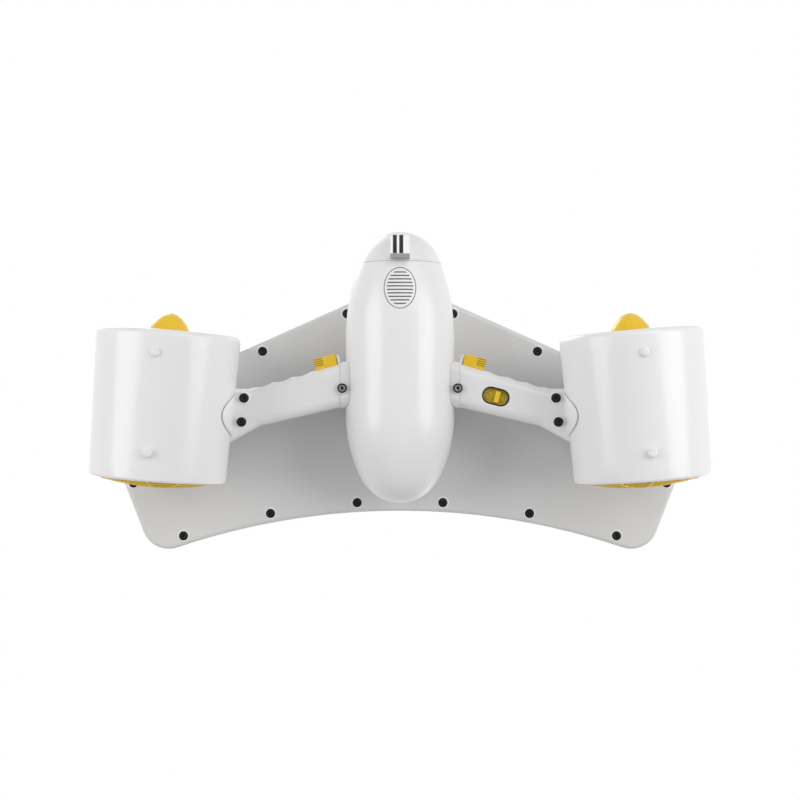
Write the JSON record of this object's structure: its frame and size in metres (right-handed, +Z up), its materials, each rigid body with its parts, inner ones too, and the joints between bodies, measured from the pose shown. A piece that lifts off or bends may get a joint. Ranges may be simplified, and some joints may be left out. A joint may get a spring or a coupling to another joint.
{
  "type": "underwater scooter",
  "caption": "Wing-shaped float board over a bullet-shaped battery pod, with grip arms, triggers and ducted thrusters at both sides.",
  "frame": {"origin": "on the ground under the middle of the outline, where the feet rest", "axes": "+Z up, +X across to the side with the speed switch, nose towards -Y"},
  "size_m": [0.6542, 0.3466, 0.198],
  "materials": {
    "white": "satin",
    "yellow": "satin",
    "black_plastic": "satin",
    "grey_plastic": "satin",
    "battery_wrap": "satin",
    "circuit_board": "satin",
    "foam": "matte",
    "black_screws": "satin",
    "steel": "satin",
    "aluminium": "satin",
    "rubber": "matte",
    "foot_rubber": "matte"
  },
  "bodies": {
    "scooter": {"arm_root_screws": "steel", "battery_sleeve": "grey_plastic", "board_bottom_shell": "white", "board_foam_core": "foam", "board_screws": "black_screws", "board_top_shell": "yellow", "contact_block": "black_plastic", "duct_screws": "black_screws", "hull_shell": "white", "left_arm_collar": "white", "left_arm_lower_shell": "white", "left_arm_upper_shell": "white", "left_duct": "white", "left_front_guard": "yellow", "left_guard_dome": "yellow", "left_motor_cover": "aluminium", "left_motor_housing": "black_plastic", "left_motor_stator": "steel", "left_pylon": "white", "left_rear_guard": "yellow", "left_shaft_bearings": "steel", "left_shaft_seal": "rubber", "left_trigger_spring": "steel", "left_trigger_switch": "black_plastic", "motor_controller": "circuit_board", "release_spring": "steel", "right_arm_collar": "white", "right_arm_lower_shell": "white", "right_arm_upper_shell": "white", "right_duct": "white", "right_front_guard": "yellow", "right_guard_dome": "yellow", "right_motor_cover": "aluminium", "right_motor_housing": "black_plastic", "right_motor_stator": "steel", "right_pylon": "white", "right_rear_guard": "yellow", "right_shaft_bearings": "steel", "right_shaft_seal": "rubber", "right_trigger_spring": "steel", "right_trigger_switch": "black_plastic", "rubber_feet": "foot_rubber"},
    "battery_module": {"nose_cap": "white", "nose_cap_seal": "rubber", "camera_mount": "grey_plastic", "camera_mount_nut": "steel", "battery_pack": "battery_wrap"},
    "release_button": {"cap_release_button": "white"},
    "speed_switch": {"speed_switch": "yellow"},
    "right_propeller_set": {"right_propeller": "black_plastic", "right_propeller_nut": "steel", "right_propeller_shaft": "steel", "right_motor_rotor": "steel"},
    "right_trigger": {"right_trigger": "yellow"},
    "left_propeller_set": {"left_propeller": "black_plastic", "left_propeller_nut": "steel", "left_propeller_shaft": "steel", "left_motor_rotor": "steel"},
    "left_trigger": {"left_trigger": "yellow"}
  },
  "joints": [
    {"name": "battery_module_slide", "type": "slide", "parent": "scooter", "child": "battery_module", "axis": [0, -1, 0], "range_m": [0, 0.16]},
    {"name": "release_button_press", "type": "slide", "parent": "scooter", "child": "release_button", "axis": [0, 0, 1], "range_m": [0, 0.0025], "stiffness_N_per_m": 1200, "springref_m": -0.002, "deforming": ["release_spring"]},
    {"name": "speed_switch_slide", "type": "slide", "parent": "scooter", "child": "speed_switch", "axis": [0.969, 0.247, 0], "range_m": [-0.005, 0.005]},
    {"name": "right_propeller_spin", "type": "hinge", "parent": "scooter", "child": "right_propeller_set", "pos_m": [0.242, -0.0641, 0.077], "axis": [0.0802, 0.9968, 0], "continuous": true},
    {"name": "right_trigger_press", "type": "slide", "parent": "scooter", "child": "right_trigger", "axis": [-0.247, 0.969, 0], "range_m": [0, 0.005], "stiffness_N_per_m": 800, "springref_m": -0.002, "deforming": ["right_trigger_spring"]},
    {"name": "left_propeller_spin", "type": "hinge", "parent": "scooter", "child": "left_propeller_set", "pos_m": [-0.242, -0.0641, 0.077], "axis": [-0.0802, 0.9968, 0], "continuous": true},
    {"name": "left_trigger_press", "type": "slide", "parent": "scooter", "child": "left_trigger", "axis": [0.247, 0.969, 0], "range_m": [0, 0.005], "stiffness_N_per_m": 800, "springref_m": -0.002, "deforming": ["left_trigger_spring"]}
  ]
}
